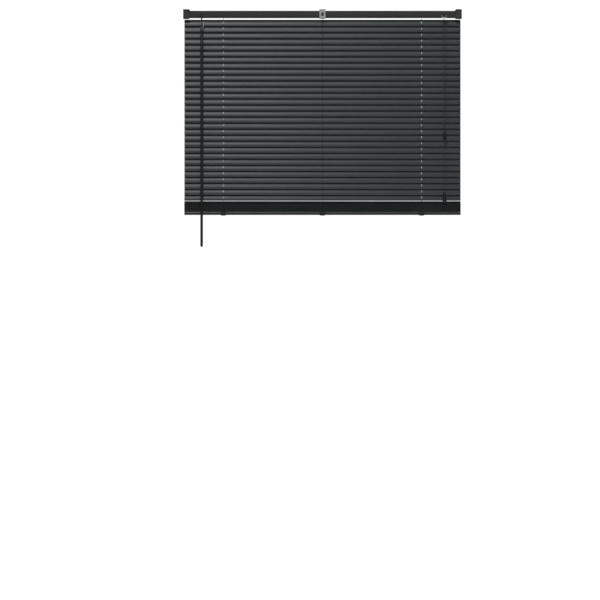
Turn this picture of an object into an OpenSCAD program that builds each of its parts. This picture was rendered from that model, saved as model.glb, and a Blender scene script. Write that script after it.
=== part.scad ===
// Venetian blind with 25 mm aluminium slats, drawn part of the way up.
// +Z is up, +X runs along the slats and the room is on the -Y side.
// The origin is on the ceiling plane, midway between the two end brackets.

/* [Blind] */
// Width over the two end brackets
blind_w = 1000; // [960:10:1200]
// Gap from the ends of the slats to the ends of the brackets
slat_inset = 4; // [3:0.5:8]
// Distance of the outer ladders from the middle of the blind
ladder_x = 356; // [300:1:360]

/* [Slats] */
// Width of a slat
slat_w = 25; // [24:0.5:25]
// Thickness of the aluminium strip
slat_t = 0.2; // [0.18:0.01:0.22]
// Height of the crown across a slat
slat_crown = 1.5; // [1.2:0.1:1.8]
// Distance between one hanging slat and the next
slat_pitch = 21.65; // [21.5:0.05:22]
// Height of the first slat's middle, below the ceiling
first_slat_drop = 47.8; // [47:0.1:49]
// Angle of the closed slats to the horizontal
closed_angle = 67.5; // [60:0.5:68]
// Number of slats that lie in the stack on the bottom rail
stack_count = 62; // [20:1:62]
// Distance between one stacked slat and the next
stack_pitch = 0.53; // [0.5:0.01:0.53]

/* [Head rail] */
// Height and depth of the head rail
head_h = 25; // [25:1:25]
// Sheet thickness of the head rail
head_t = 0.6; // [0.5:0.1:0.8]
// Drop from the ceiling to the top of the head rail
head_drop = 5.6; // [5:0.1:6]
// Height of an end bracket
bracket_h = 33.5; // [33:0.5:36]
// Width of an end bracket
bracket_w = 25; // [25:1:30]

/* [Controls] */
// Position of the tilt wand along the blind
wand_x = -433.6; // [-440:0.1:-420]
// Length of the tilt wand
wand_l = 791; // [300:1:900]
// Diameter of the tilt wand
wand_d = 9.5; // [6:0.5:10]
// Turns of the wand for one turn of the tilt rod
wand_ratio = 8; // [8:1:8]
// Position of the guide pulley of the cord lock along the blind
lock_x = 431.3; // [420:0.1:440]

/* [Cords] */
// Diameter of the lift and pull cords
cord_d = 1.4; // [1.2:0.1:1.5]
// Diameter of the ladder strings
string_d = 0.9; // [0.7:0.1:0.9]

/* [Bottom rail] */
// Depth of the bottom rail
rail_w = 24; // [22:0.5:24]
// Height of the bottom rail
rail_h = 12.5; // [10:0.5:13]
// Drop from the ceiling to the top of the bottom rail
rail_drop = 726; // [726:1:740]

/* [Hidden] */
HANGING = 30;
LINKS = 5;
FIRST_LINK = HANGING - LINKS + 1;
function two_digits(i) = str(i < 10 ? "0" : "", i);
function slat_name(i) = str("slat_", two_digits(i));
function link_name(i) = str("ladder_link_", two_digits(i));
HARDWARE = [
    "headrail", "end_brackets", "bracket_door_left", "bracket_door_right", "centre_bracket",
    "tilt_rod", "ladder_drums", "drum_cradles", "tilter_housing", "tilter_gear", "tilter_worm",
    "wand_hook", "tilt_wand", "cord_lock", "cord_lock_pulley", "lift_cords", "pull_cords",
    "cord_joiner", "cord_tassel", "front_ladder_strings", "rear_ladder_strings",
    "stacked_slats", "bottom_rail", "rail_end_caps", "rail_clips"
];

ALUMINIUM = [0.24, 0.25, 0.26];
STEEL_BLACK = [0.17, 0.17, 0.17];
PLASTIC_BLACK = [0.10, 0.10, 0.10];
PLASTIC_GREY = [0.75, 0.76, 0.77];
ZINC = [0.62, 0.63, 0.65];
CORD = [0.20, 0.21, 0.22];
EPS = 0.05;
LADDERS = [-ladder_x, 0, ladder_x];
CORDED = [-ladder_x, ladder_x];

// slats and stack
slat_l = blind_w - 2 * slat_inset;
arc_r = (slat_w * slat_w / 4 + slat_crown * slat_crown) / (2 * slat_crown);
arc_a = asin(slat_w / 2 / arc_r);
ARC_STEPS = 8;
STACK_STEPS = 6;
rout_w = 3;
rout_l = 8.2;
rout_corner = 0.8;
rail_top = -rail_drop;
stack_low = rail_top + 0.15 + slat_t / 2 + slat_crown / 2;
stack_loose = 3.2;

// head rail and brackets
head_top = -head_drop;
head_low = head_top - head_h;
head_floor = head_low + head_t;
head_half = head_h / 2;
head_in = head_half - head_t;
head_lip = 2.4;
head_corner = 4;
base_half = head_half - head_corner - 0.1;
bracket_t = 1.5;
bracket_in_x = blind_w / 2 - bracket_w;
bracket_back = head_half + 0.3;
bracket_front = -head_half - 1.5;
bracket_corner = 5;
rail_end_x = blind_w / 2 - 12;
screw_r = 2.5;
screw_x = blind_w / 2 - 6;
screw_y = 6;
screw_z = [-11, -23];
hinge_y = bracket_front - 1.9;
hinge_z = -1.8;
hinge_r = 1.6;
pin_r = 0.9;

// tilt rod, drums and cradles
rod_z = head_top - head_h / 2;
rod_r = 3.2;
rod_l = 2 * (bracket_in_x - 6);
drum_r = 7;
drum_flange_r = 8.5;
drum_l = 13;
journal_r = 4.2;
cradle_half = 9;
cradle_t = 1.4;

// ladder strings, which turn with the slats' edges
string_reach = slat_w / 2 + 3.35;
string_y = string_reach * cos(closed_angle);
string_dz = string_reach * sin(closed_angle);
drum_string_y = drum_r + string_d / 2 + 0.1;
last_link_gap = 1.6;

// tilter
lean = 20;
eye_y = -19;
eye_z = -47.1;
worm_along = 33.75;
gear_distance = 7.94;
gear_pitch_r = 5;
gear_tip_r = 5.7;
gear_root_r = 4.2;
gear_w = 3.2;
gear_lead = 2 * PI * gear_pitch_r / wand_ratio;
stem_r = 2;
thread_r = 3.2;
thread_share = 0.22;
nose_r = 3.2;
hook_wire_r = 1.1;
hook_side = 6.3;
hook_bend = 2.2;
wand_pivot_z = -65.1;

// cord lock
pulley_r = 4.2;
pulley_y = -6.7;
cord_r = cord_d / 2;
wrap_r = pulley_r + cord_r + 0.05;
cord_low_z = head_floor + 2.1;
cord_high_z = cord_low_z + 2;
hang_y = -21.5;
lip_low = head_low - 1.5;
exit_x = [433.5, 438.5];

// Routes of the pull cords, from the lip to the joiner and from the joiner to the tassel
PULL_A = [[433.5, -21.5, -32.3], [433.5, -21.5, -60], [434, -21.5, -140], [434.8, -21.5, -230],
    [435.6, -21.5, -320], [436.2, -21.5, -400], [436.4, -21.5, -436]];
PULL_B = [[438.5, -21.5, -32.3], [438.5, -21.5, -60], [438.5, -21.5, -140], [438.4, -21.5, -230],
    [438.3, -21.5, -320], [438.4, -21.5, -400], [438.6, -21.5, -436]];
PULL_C = [[437.5, -21.5, -476], [437.5, -21.5, -540], [437.5, -21.5, -600], [437.5, -21.5, -656]];
joiner_top = -436;
joiner_low = -476;
tassel_top = -656;
tassel_low = -695;
end_x = 437.5;

function slat_z(i) = -first_slat_drop - slat_pitch * (i - 1);

// Height of a stacked slat's middle: the last few lie looser than the rest
function stacked_z(k) =
    stack_low + k * stack_pitch + stack_loose * pow(k / (stack_count - 1), 12);

// Points along a crowned strip's arc, at the radius r
function crown_points(r, n) =
    [for (i = [0:n]) let (a = -arc_a + 2 * arc_a * i / n)
        [r * sin(a), r * cos(a) - arc_r + slat_crown / 2]];
function reversed(list) = [for (i = [len(list) - 1:-1:0]) list[i]];
function slat_section(n) =
    concat(crown_points(arc_r + slat_t / 2, n), reversed(crown_points(arc_r - slat_t / 2, n)));

// A rectangle with its corners cut, w across and l along
function cut_corners(w, l, c) = [
    [w / 2 - c, -l / 2], [w / 2, -l / 2 + c], [w / 2, l / 2 - c], [w / 2 - c, l / 2],
    [-w / 2 + c, l / 2], [-w / 2, l / 2 - c], [-w / 2, -l / 2 + c], [-w / 2 + c, -l / 2]
];

// A rounded rectangle with n steps to each corner
function rounded(w, l, r, n) =
    [for (q = [0:3]) for (i = [0:n]) let (a = 90 * q + 90 * i / n)
        [(q == 0 || q == 3 ? 1 : -1) * (w / 2 - r) + r * cos(a),
         (q < 2 ? 1 : -1) * (l / 2 - r) + r * sin(a)]];

// A section in Y and Z, drawn out along X
module along_x(l) {
    rotate([90, 0, 90]) linear_extrude(l, center = true) children();
}

module rod_x(r, l, sides = 32) {
    rotate([0, 90, 0]) cylinder(h = l, r = r, center = true, $fn = sides);
}

// A smooth curve through the route's points (Catmull-Rom), at n steps to each stretch
function curve_at(a, b, c, d, t) =
    0.5 * ((2 * b) + (c - a) * t + (2 * a - 5 * b + 4 * c - d) * t * t
        + (3 * b - a - 3 * c + d) * t * t * t);
function smooth_route(p, n) = concat(
    [for (i = [0:len(p) - 2]) for (k = [0:n - 1])
        curve_at(p[max(i - 1, 0)], p[i], p[i + 1], p[min(i + 2, len(p) - 1)], k / n)],
    [p[len(p) - 1]]
);

function unit(v) = v / norm(v);
// The direction of a line of points at its point i, halfway between the stretches before and after
function heading(p, i) = unit(
    (i == 0 ? [0, 0, 0] : unit(p[i] - p[i - 1]))
        + (i == len(p) - 1 ? [0, 0, 0] : unit(p[i + 1] - p[i])));
function square_to(v, t) = unit(v - (v * t) * t);
// Side directions along a line of points, each turned as little as possible from the last
function side_ways(p, side, i = 0) =
    let (s = square_to(side, heading(p, i)))
    i == len(p) - 1 ? [s] : concat([s], side_ways(p, s, i + 1));
// How much a ring widens at a bend, so that the stretches keep their diameter
function mitre(p, i) =
    i == 0 || i == len(p) - 1 ? 1 : 1 / (heading(p, i) * unit(p[i + 1] - p[i]));

// One closed tube with 8 sides along a line of points; side is any direction across its start
module tube_along(line, d, side = [1, 0, 0]) {
    sides = 8;
    count = len(line);
    ways = side_ways(line, side);
    points = [for (i = [0:count - 1])
        let (t = heading(line, i), u = ways[i], v = cross(t, u),
            b = i == 0 || i == count - 1 ? u : unit(line[i + 1] - line[i]) - unit(line[i] - line[i - 1]),
            w = norm(b) < 0.001 ? u : unit(b - (b * t) * t))
        for (s = [0:sides - 1])
            let (r = d / 2 * (cos(360 * s / sides) * u + sin(360 * s / sides) * v))
                line[i] + r + (mitre(line, i) - 1) * (r * w) * w];
    walls = [for (i = [0:count - 2]) for (s = [0:sides - 1])
        [i * sides + s, (i + 1) * sides + s,
         (i + 1) * sides + (s + 1) % sides, i * sides + (s + 1) % sides]];
    start = [for (s = [0:sides - 1]) s];
    end = [for (s = [sides - 1:-1:0]) (count - 1) * sides + s];
    polyhedron(points, concat([start], walls, [end]), convexity = 8);
}

// A slat lying flat, its middle on the X axis
module flat_slat(steps) {
    difference() {
        along_x(slat_l) polygon(slat_section(steps));
        for (x = CORDED)
            translate([x, 0, 0])
                linear_extrude(8, center = true) polygon(cut_corners(rout_w, rout_l, rout_corner));
    }
}

module slat(i) {
    color(ALUMINIUM)
        translate([0, 0, slat_z(i)]) rotate([closed_angle, 0, 0]) flat_slat(ARC_STEPS);
}

module stacked_slats() {
    color(ALUMINIUM)
        for (k = [0:stack_count - 1])
            translate([0, 0, stacked_z(k)]) flat_slat(STACK_STEPS);
}

// The channel's lower corner on the side s, at the radius r about the bend's centre
function head_bend(s, r, n = 4) =
    [for (i = [0:n]) let (a = 90 * i / n)
        [s * (head_half - head_corner + r * sin(a)), head_low + head_corner - r * cos(a)]];

// The channel's section: floor, two walls and two lips turned in at the top
module head_section() {
    inner = head_corner - head_t;
    polygon(concat(
        [[-head_half, head_top]], reversed(head_bend(-1, head_corner)), head_bend(1, head_corner),
        [[head_half, head_top], [head_half - head_lip, head_top],
         [head_half - head_lip, head_top - head_t], [head_in, head_top - head_t]],
        reversed(head_bend(1, inner)), head_bend(-1, inner),
        [[-head_in, head_top - head_t], [-head_half + head_lip, head_top - head_t],
         [-head_half + head_lip, head_top]]
    ));
}

module headrail() {
    ladder_slot = 17;
    color(STEEL_BLACK)
        difference() {
            along_x(2 * rail_end_x) head_section();
            for (x = LADDERS)
                translate([x, 0, head_low]) cube([ladder_slot, ladder_slot, 4], center = true);
            // window for the tilter's nose
            translate([wand_x - 5, -head_half - 1, head_low - 1]) cube([10, 9, 14]);
            // window for the cord lock's lip
            translate([lock_x - 5, -head_half - 1, head_low - 1]) cube([20, head_half - base_half + 2, 9]);
        }
}

// An end bracket's outline from the front, i smaller all round
module bracket_outline(i) {
    x0 = bracket_in_x + i;
    x1 = blind_w / 2 - i;
    z1 = -bracket_h + i;
    c = bracket_corner - 0.6 * i;
    polygon([[x0 + c, -i], [x1, -i], [x1, z1], [x0 + c, z1], [x0, z1 + c], [x0, -i - c]]);
}

// The outline drawn out along Y from y0 to y1
module bracket_block(i, y0, y1) {
    translate([0, y1, 0]) rotate([90, 0, 0]) linear_extrude(y1 - y0) bracket_outline(i);
}

module end_bracket() {
    ear_t = 1.5;
    ear_gap = 0.3;
    difference() {
        union() {
            difference() {
                bracket_block(0, bracket_front, bracket_back + bracket_t);
                bracket_block(bracket_t, bracket_front - 1, bracket_back);
                translate([bracket_in_x - 1, bracket_front - 1, head_low - 0.4])
                    cube([5.5, bracket_back - bracket_front + 1, head_h + 0.8]);
            }
            // shelf that carries the end of the head rail
            translate([bracket_in_x + 3, -head_half + 1, -bracket_h + 1])
                cube([rail_end_x - bracket_in_x - 3, head_h - 2, head_low + bracket_h - 1 - EPS]);
            for (x = [bracket_in_x + bracket_corner + ear_gap, blind_w / 2 - ear_t])
                translate([x, hinge_y - hinge_r, -3.6]) cube([ear_t, hinge_r + 2.6, 3.6]);
        }
        for (y = [-screw_y, screw_y])
            translate([screw_x, y, -3]) cylinder(h = 4, r = screw_r, $fn = 32);
        for (z = screw_z)
            translate([screw_x, bracket_back + 3, z]) rotate([90, 0, 0])
                cylinder(h = 4, r = screw_r, $fn = 32);
        translate([bracket_in_x + bracket_w / 2, hinge_y, hinge_z]) rod_x(pin_r + 0.06, bracket_w + 2);
    }
}

module end_brackets() {
    color(PLASTIC_BLACK) {
        end_bracket();
        mirror([1, 0, 0]) end_bracket();
    }
}

module bracket_door() {
    door_t = 1.5;
    neck_x0 = bracket_in_x + bracket_corner + 2.1;
    neck_x1 = blind_w / 2 - 1.8;
    knuckle = neck_x1 - neck_x0;
    mid_x = (neck_x0 + neck_x1) / 2;
    difference() {
        bracket_block(0, hinge_y - door_t / 2, hinge_y + door_t / 2);
        translate([bracket_in_x - 1, hinge_y - 3, -5]) cube([bracket_w + 2, 6, 6]);
    }
    translate([neck_x0, hinge_y - door_t / 2, -5 - EPS]) cube([knuckle, door_t, 3.2]);
    translate([mid_x, hinge_y, hinge_z]) rod_x(hinge_r, knuckle);
    translate([mid_x, hinge_y, hinge_z]) rod_x(pin_r, knuckle + 2.6);
}

module bracket_door_left() {
    color(PLASTIC_BLACK) mirror([1, 0, 0]) bracket_door();
}

module bracket_door_right() {
    color(PLASTIC_BLACK) bracket_door();
}

module centre_bracket() {
    band = 22;
    t = 1.4;
    gap = 0.4;
    y1 = head_half + gap;
    color(PLASTIC_GREY)
        difference() {
            union() {
                translate([-band / 2, -y1 - t, -t]) cube([band, 2 * (y1 + t), t]);
                for (y = [-y1 - t, y1])
                    translate([-band / 2, y, head_low - gap - t])
                        cube([band, t, t + gap - head_low]);
                for (y = [-y1 - t, y1 + t - 4])
                    translate([-band / 2, y, head_low - gap - t]) cube([band, 4, t]);
            }
            translate([0, -y1, head_top - head_h / 2]) cube([8, 6, 13], center = true);
            translate([0, 0, -t - 1]) cylinder(h = t + 2, r = screw_r, $fn = 32);
        }
}

module tilt_rod() {
    color(ZINC) translate([0, 0, rod_z]) rod_x(rod_r, rod_l, 6);
}

module ladder_drums() {
    flange = 1;
    color(PLASTIC_GREY)
        for (x = LADDERS)
            translate([x, 0, rod_z])
                difference() {
                    union() {
                        rod_x(drum_r, drum_l);
                        for (s = [-1, 1])
                            translate([s * (drum_l - flange) / 2, 0, 0]) rod_x(drum_flange_r, flange);
                        rod_x(journal_r, 2 * cradle_half + 2 * cradle_t + 1);
                    }
                    rod_x(rod_r + 0.05, 60, 6);
                }
}

module drum_cradles() {
    base_t = 1;
    depth = 2 * base_half;
    slot_half = base_half - 0.7;
    wall_h = rod_z + journal_r + 2.5 - head_floor;
    length = 2 * (cradle_half + cradle_t);
    color(PLASTIC_GREY)
        for (x = LADDERS)
            translate([x, 0, 0])
                difference() {
                    union() {
                        translate([-length / 2, -depth / 2, head_floor + EPS])
                            cube([length, depth, base_t]);
                        for (s = [-1, 1])
                            translate([s * (cradle_half + cradle_t / 2), 0, head_floor + EPS + wall_h / 2])
                                cube([cradle_t, depth, wall_h], center = true);
                    }
                    translate([0, 0, rod_z]) rod_x(journal_r + 0.06, 60);
                    // openings for the strings and the lift cord, and the cords' way through
                    cube([6, 2 * slot_half, 80], center = true);
                    translate([0, 0, cord_low_z]) cube([60, 7, 2.1], center = true);
                }
}

module at_eye() {
    translate([wand_x, eye_y, eye_z]) rotate([-lean, 0, 0]) children();
}

module tilter_housing() {
    half = 8;
    wall = 1;
    y0 = -head_in + 0.2;
    y1 = 9;
    z0 = head_low + 3.2;
    z1 = head_top - 1;
    color(PLASTIC_BLACK)
        difference() {
            union() {
                difference() {
                    translate([wand_x - half, y0, z0]) cube([2 * half, y1 - y0, z1 - z0]);
                    translate([wand_x - half + wall, y0 + wall, z0 + wall])
                        cube([2 * (half - wall), y1 - y0 - 2 * wall, z1 - z0]);
                }
                at_eye() translate([0, 0, 14]) cylinder(h = 11, r = nose_r, $fn = 48);
            }
            at_eye() translate([0, 0, 12]) cylinder(h = 40, r = stem_r + 0.07, $fn = 48);
            at_eye() translate([0, 0, 25]) cylinder(h = 20, r = thread_r + 0.3, $fn = 48);
            translate([wand_x, 0, rod_z]) rod_x(rod_r + 0.15, 30);
        }
}

// A tooth's outline, pointing along +X
function tooth(width) = [
    [gear_root_r - 0.4, -width], [gear_tip_r, -width / 2], [gear_tip_r, width / 2],
    [gear_root_r - 0.4, width]
];

module tilter_gear() {
    tooth_w = 1.0;
    // a gap between two teeth faces the worm
    phase = 180 - lean + 180 / wand_ratio;
    color(PLASTIC_GREY)
        translate([wand_x, 0, rod_z])
            difference() {
                along_x(gear_w)
                    union() {
                        circle(r = gear_root_r, $fn = 48);
                        for (k = [0:wand_ratio - 1])
                            rotate(phase + k * 360 / wand_ratio) polygon(tooth(tooth_w));
                    }
                rod_x(rod_r + 0.05, 20, 6);
            }
}

module tilter_worm() {
    turns = 2;
    half_angle = 180 * thread_share;
    ring_r = 4;
    color(PLASTIC_GREY)
        at_eye() {
            translate([0, 0, 3.2]) cylinder(h = worm_along + 2.8, r = stem_r, $fn = 48);
            translate([0, 0, worm_along])
                linear_extrude(turns * gear_lead, center = true, twist = -360 * turns, slices = 32)
                    polygon(concat(
                        [for (a = [90 - half_angle:half_angle / 2:90 + half_angle])
                            thread_r * [cos(a), sin(a)]],
                        [for (a = [90 + half_angle:-half_angle:90 - half_angle])
                            (stem_r - 0.3) * [cos(a), sin(a)]]
                    ));
            difference() {
                rod_x(ring_r, 2);
                rod_x(2.4, 6);
            }
        }
}

// Wire that comes down from the stem's eye and passes through the hole in the wand's top
module wand_hook() {
    bend = hook_bend;
    drop = eye_z - wand_pivot_z;
    color(PLASTIC_GREY)
        translate([wand_x, eye_y, eye_z]) {
            translate([(hook_side - bend - 3.6) / 2, 0, 0]) rod_x(hook_wire_r, hook_side - bend + 3.6);
            translate([hook_side, 0, -drop + bend]) cylinder(h = drop - 2 * bend, r = hook_wire_r, $fn = 32);
            translate([(hook_side - bend - 5) / 2, 0, -drop]) rod_x(hook_wire_r, hook_side - bend + 5);
            translate([hook_side - bend, 0, -bend]) rotate([90, 0, 0])
                rotate_extrude(angle = 90, $fn = 48) translate([bend, 0]) circle(r = hook_wire_r, $fn = 32);
            translate([hook_side - bend, 0, -drop + bend]) rotate([90, 0, 0]) rotate([0, 0, -90])
                rotate_extrude(angle = 90, $fn = 48) translate([bend, 0]) circle(r = hook_wire_r, $fn = 32);
        }
}

module tilt_wand() {
    top_over_pivot = 2.6;
    neck = 12;
    r = wand_d / 2;
    color(PLASTIC_BLACK)
        translate([wand_x, eye_y, wand_pivot_z])
            difference() {
                union() {
                    translate([0, 0, top_over_pivot - neck]) cylinder(h = neck, r1 = r, r2 = r - 0.8, $fn = 48);
                    translate([0, 0, top_over_pivot - wand_l + r])
                        cylinder(h = wand_l - neck - r + EPS, r = r, $fn = 48);
                    translate([0, 0, top_over_pivot - wand_l + r]) sphere(r = r, $fn = 48);
                }
                rod_x(hook_wire_r + 0.08, 20);
            }
}

module cord_lock() {
    base_t = 1;
    base_z = head_floor + EPS;
    x0 = lock_x - 8;
    x1 = lock_x + 14;
    rear_t = 1.2;
    axle_r = 1.2;
    lip_x0 = lock_x - 3.5;
    lip_l = 16.5;
    lip_t = 3.2;
    lip_y0 = hang_y - 2.6;
    lip_y1 = -head_half - 0.3;
    ear_t = 1.6;
    color(PLASTIC_GREY)
        difference() {
            union() {
                translate([x0, -base_half, base_z]) cube([x1 - x0, 2 * base_half, base_t]);
                translate([x0, base_half - rear_t, base_z]) cube([x1 - x0, rear_t, 16]);
                translate([lock_x, pulley_y, base_z]) cylinder(h = 8, r = axle_r, $fn = 32);
                // tongue that leads the cords out in front of the slats
                translate([lip_x0, lip_y1 - 1, base_z]) cube([lip_l, -base_half - lip_y1 + 1.1, base_t]);
                translate([lip_x0, lip_y0, lip_low]) cube([lip_l, lip_y1 - lip_y0, lip_t]);
                for (x = [lip_x0, lip_x0 + lip_l - ear_t])
                    translate([x, lip_y0 + 1, lip_low + lip_t - EPS])
                        cube([ear_t, lip_y1 - lip_y0 - 1, 6.5]);
            }
            for (x = exit_x)
                translate([x, hang_y, lip_low - 1]) cylinder(h = 8, r = cord_r + 0.4, $fn = 32);
        }
}

module cord_lock_pulley() {
    flange = 0.6;
    low = head_floor + 1 + EPS + 0.15;
    h = 6;
    color(ZINC)
        translate([lock_x, pulley_y, low])
            difference() {
                cylinder(h = h, r = pulley_r, $fn = 48);
                translate([0, 0, -1]) cylinder(h = h + 2, r = 1.2 + 0.06, $fn = 48);
                for (z = [cord_low_z, cord_high_z])
                    translate([0, 0, z - low - cord_r - 0.1])
                        difference() {
                            cylinder(h = cord_d + 0.2, r = pulley_r + 1, $fn = 48);
                            translate([0, 0, -1]) cylinder(h = cord_d + 2.2, r = pulley_r - flange, $fn = 48);
                        }
            }
}

// The quarter turn round the guide pulley, at the height z
function wrap(z) = [for (a = [0:22.5:90]) [lock_x + wrap_r * sin(a), pulley_y + wrap_r * cos(a), z]];

module lift_cords() {
    low_end = rail_top - rail_h + 1.5;
    bend_z = head_low - 3;
    lane_y = pulley_y + wrap_r;
    out_z = lip_low + 3.2 + cord_r + 0.1;
    color(CORD) {
        tube_along(concat(
            [[-ladder_x, 0, low_end], [-ladder_x, 0, bend_z], [-ladder_x, lane_y, cord_low_z]],
            wrap(cord_low_z),
            [[exit_x[0], -head_half - 2, cord_low_z + 0.4], [exit_x[0], hang_y + 0.9, out_z],
             [exit_x[0], hang_y, out_z - 0.9], [exit_x[0], hang_y, lip_low]]
        ), cord_d);
        tube_along(concat(
            [[ladder_x, 0, low_end], [ladder_x, 0, bend_z], [ladder_x, 0.4, cord_low_z],
             [ladder_x + 18, 0.4, cord_low_z], [ladder_x + 50, lane_y, cord_high_z]],
            wrap(cord_high_z),
            [[exit_x[1], -head_half - 2, cord_low_z + 0.4], [exit_x[1], hang_y + 0.9, out_z],
             [exit_x[1], hang_y, out_z - 0.9], [exit_x[1], hang_y, lip_low]]
        ), cord_d);
    }
}

module pull_cords() {
    color(CORD) {
        for (route = [PULL_A, PULL_B]) tube_along(smooth_route(route, 4), cord_d);
        tube_along(smooth_route(PULL_C, 5), cord_d);
    }
}

module cord_joiner() {
    r = 4.4;
    cone = 7;
    h = joiner_top - joiner_low;
    color(PLASTIC_BLACK)
        translate([end_x, hang_y, joiner_low]) {
            cylinder(h = cone, r1 = 2, r2 = r, $fn = 48);
            translate([0, 0, cone]) cylinder(h = h - 2 * cone, r = r, $fn = 48);
            translate([0, 0, h - cone]) cylinder(h = cone, r1 = r, r2 = 2.6, $fn = 48);
        }
}

module cord_tassel() {
    h = tassel_top - tassel_low;
    color(PLASTIC_BLACK)
        translate([end_x, hang_y, tassel_low]) {
            cylinder(h = 3, r1 = 6, r2 = 7.6, $fn = 48);
            translate([0, 0, 3]) cylinder(h = h - 9, r1 = 7.6, r2 = 4.6, $fn = 48);
            translate([0, 0, h - 6]) cylinder(h = 6, r1 = 4.6, r2 = 2.8, $fn = 48);
        }
}

module front_ladder_strings() {
    color(CORD)
        for (x = LADDERS)
            tube_along([[x, -drum_string_y, rod_z], [x, -string_y, slat_z(1) - string_dz],
                [x, -string_y, slat_z(FIRST_LINK - 1) - string_dz]], string_d);
}

module rear_ladder_strings() {
    color(CORD)
        for (x = LADDERS)
            tube_along([[x, drum_string_y, rod_z], [x, string_y, slat_z(1) + string_dz],
                [x, string_y, slat_z(HANGING) + string_dz]], string_d);
}

// The front strings' stretch from one slat down to the slat i; the last one stays clear of the stack
module ladder_link(i) {
    low = slat_z(i) - string_dz + (i == HANGING ? last_link_gap : 0);
    color(CORD)
        for (x = LADDERS)
            tube_along([[x, -string_y, slat_z(i - 1) - string_dz - 0.1],
                [x, -string_y, low]], string_d);
}

module bottom_rail() {
    t = 0.6;
    corner = 4;
    cap = 2;
    color(STEEL_BLACK)
        translate([0, 0, rail_top - rail_h / 2])
            difference() {
                along_x(slat_l - 2 * cap) polygon(rounded(rail_w, rail_h, corner, 4));
                along_x(slat_l) polygon(rounded(rail_w - 2 * t, rail_h - 2 * t, corner - t, 4));
                for (x = CORDED)
                    translate([x, 0, -rail_h]) cylinder(h = 2 * rail_h, r = 2.2, $fn = 32);
            }
}

module rail_end_caps() {
    plug = 12;
    cap = 2;
    color(PLASTIC_BLACK)
        for (s = [-1, 1])
            translate([s * slat_l / 2, 0, rail_top - rail_h / 2]) {
                translate([-s * cap / 2, 0, 0])
                    along_x(cap - EPS) polygon(rounded(rail_w, rail_h, 4, 4));
                translate([-s * (cap + plug / 2), 0, 0])
                    along_x(plug + 0.2) polygon(rounded(rail_w - 1.5, rail_h - 1.5, 3.2, 4));
            }
}

module rail_clips() {
    clip_w = 19;
    t = 1;
    gap = 0.1;
    y1 = rail_w / 2 + gap;
    low = rail_top - rail_h - gap;
    boss_r = 7;
    color(PLASTIC_BLACK)
        for (x = LADDERS)
            translate([x, 0, 0]) {
                translate([-clip_w / 2, -y1 - t, low - t]) cube([clip_w, 2 * (y1 + t), t]);
                for (y = [-y1 - t, y1])
                    translate([-clip_w / 2, y, low - t]) cube([clip_w, t, rail_h - 1]);
                translate([0, 0, low - t - 1]) cylinder(h = 1 + EPS, r = boss_r, $fn = 48);
            }
}

headrail();
end_brackets();
bracket_door_left();
bracket_door_right();
centre_bracket();
tilt_rod();
ladder_drums();
drum_cradles();
tilter_housing();
tilter_gear();
tilter_worm();
wand_hook();
tilt_wand();
cord_lock();
cord_lock_pulley();
lift_cords();
pull_cords();
cord_joiner();
cord_tassel();
front_ladder_strings();
rear_ladder_strings();
stacked_slats();
bottom_rail();
rail_end_caps();
rail_clips();
for (i = [1:HANGING]) slat(i);
for (i = [FIRST_LINK:HANGING]) ladder_link(i);
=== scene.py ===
"""Venetian blind with 25 mm aluminium slats, drawn part of the way up.

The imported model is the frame, and every piece here rides on one of its bodies. Lengths are in metres.
+X runs along the slats, -Y points into the room and +Z is up; the ceiling is at z = 0.
"""
import logging
import math
import random
from collections.abc import Callable, Sequence
from dataclasses import dataclass
from enum import Enum

import bmesh
import bpy
from bmesh.types import BMEdge, BMesh, BMFace, BMVert
from bpy.types import Material, Node, NodeSocket, Object
from mathutils import Matrix, Vector


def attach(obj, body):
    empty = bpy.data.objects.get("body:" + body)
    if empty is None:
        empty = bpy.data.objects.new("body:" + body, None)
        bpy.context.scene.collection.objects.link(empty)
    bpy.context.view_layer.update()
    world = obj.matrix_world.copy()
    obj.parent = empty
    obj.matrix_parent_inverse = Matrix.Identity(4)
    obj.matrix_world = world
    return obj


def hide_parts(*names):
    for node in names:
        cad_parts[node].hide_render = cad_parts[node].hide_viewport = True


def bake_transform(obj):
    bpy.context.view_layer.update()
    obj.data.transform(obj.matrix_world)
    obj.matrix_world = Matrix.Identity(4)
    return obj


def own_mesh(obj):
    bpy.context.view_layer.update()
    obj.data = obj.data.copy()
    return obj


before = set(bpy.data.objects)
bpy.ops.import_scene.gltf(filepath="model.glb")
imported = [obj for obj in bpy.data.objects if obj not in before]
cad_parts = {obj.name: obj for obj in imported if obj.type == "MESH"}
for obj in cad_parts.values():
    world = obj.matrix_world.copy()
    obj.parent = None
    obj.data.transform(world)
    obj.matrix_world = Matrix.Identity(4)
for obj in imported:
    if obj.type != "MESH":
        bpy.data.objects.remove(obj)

LOG = logging.getLogger("blind")
WELD = 1e-6
FOLD = 0.5
Colour = tuple[float, float, float]
Point = tuple[float, float, float]


class Slot(Enum):
    """Names of the blind's material slots."""

    SLAT = "slat_enamel"
    STEEL = "enamelled_steel"
    BRACKET = "bracket_plastic"
    WAND = "wand_plastic"
    DARK = "dark_plastic"
    PALE = "pale_plastic"
    CENTRE = "bracket_steel"
    ZINC = "zinc_plated_steel"
    CORD = "braided_cord"
    STRING = "ladder_string"


class Side(Enum):
    """The room side and the window side of the slats, as the sign of Y."""

    FRONT = -1
    REAR = 1


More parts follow.
